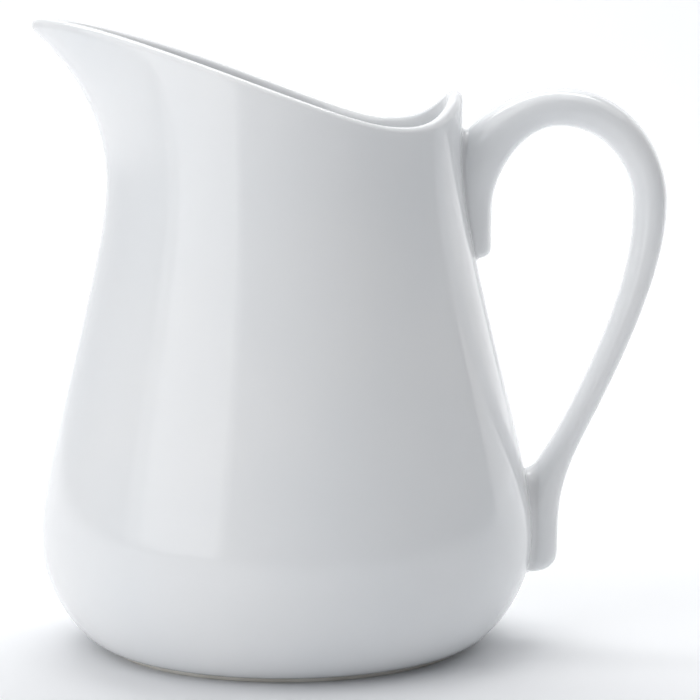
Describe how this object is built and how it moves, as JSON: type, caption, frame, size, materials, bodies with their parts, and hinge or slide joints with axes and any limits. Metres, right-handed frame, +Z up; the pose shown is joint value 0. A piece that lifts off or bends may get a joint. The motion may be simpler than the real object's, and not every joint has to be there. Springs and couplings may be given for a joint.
{
  "type": "pitcher",
  "caption": "Pear-shaped glazed porcelain pitcher with a high flared spout, a sloping rim, a loop handle and a bare standing ring.",
  "frame": {"origin": "centre of the standing ring's bottom face, on the belly's axis", "axes": "+Z up out of the mouth, +X towards the handle, -X towards the spout, Y across the pitcher"},
  "size_m": [0.1695, 0.1334, 0.1689],
  "materials": {
    "glazed_porcelain": "smooth clear gloss glaze over white porcelain",
    "bare_porcelain": "unglazed, polished matt"
  },
  "bodies": {
    "root": {"body": "glazed_porcelain", "foot_ring": "bare_porcelain", "handle": "glazed_porcelain", "upper_handle_joint": "glazed_porcelain", "lower_handle_joint": "glazed_porcelain"}
  },
  "joints": []
}
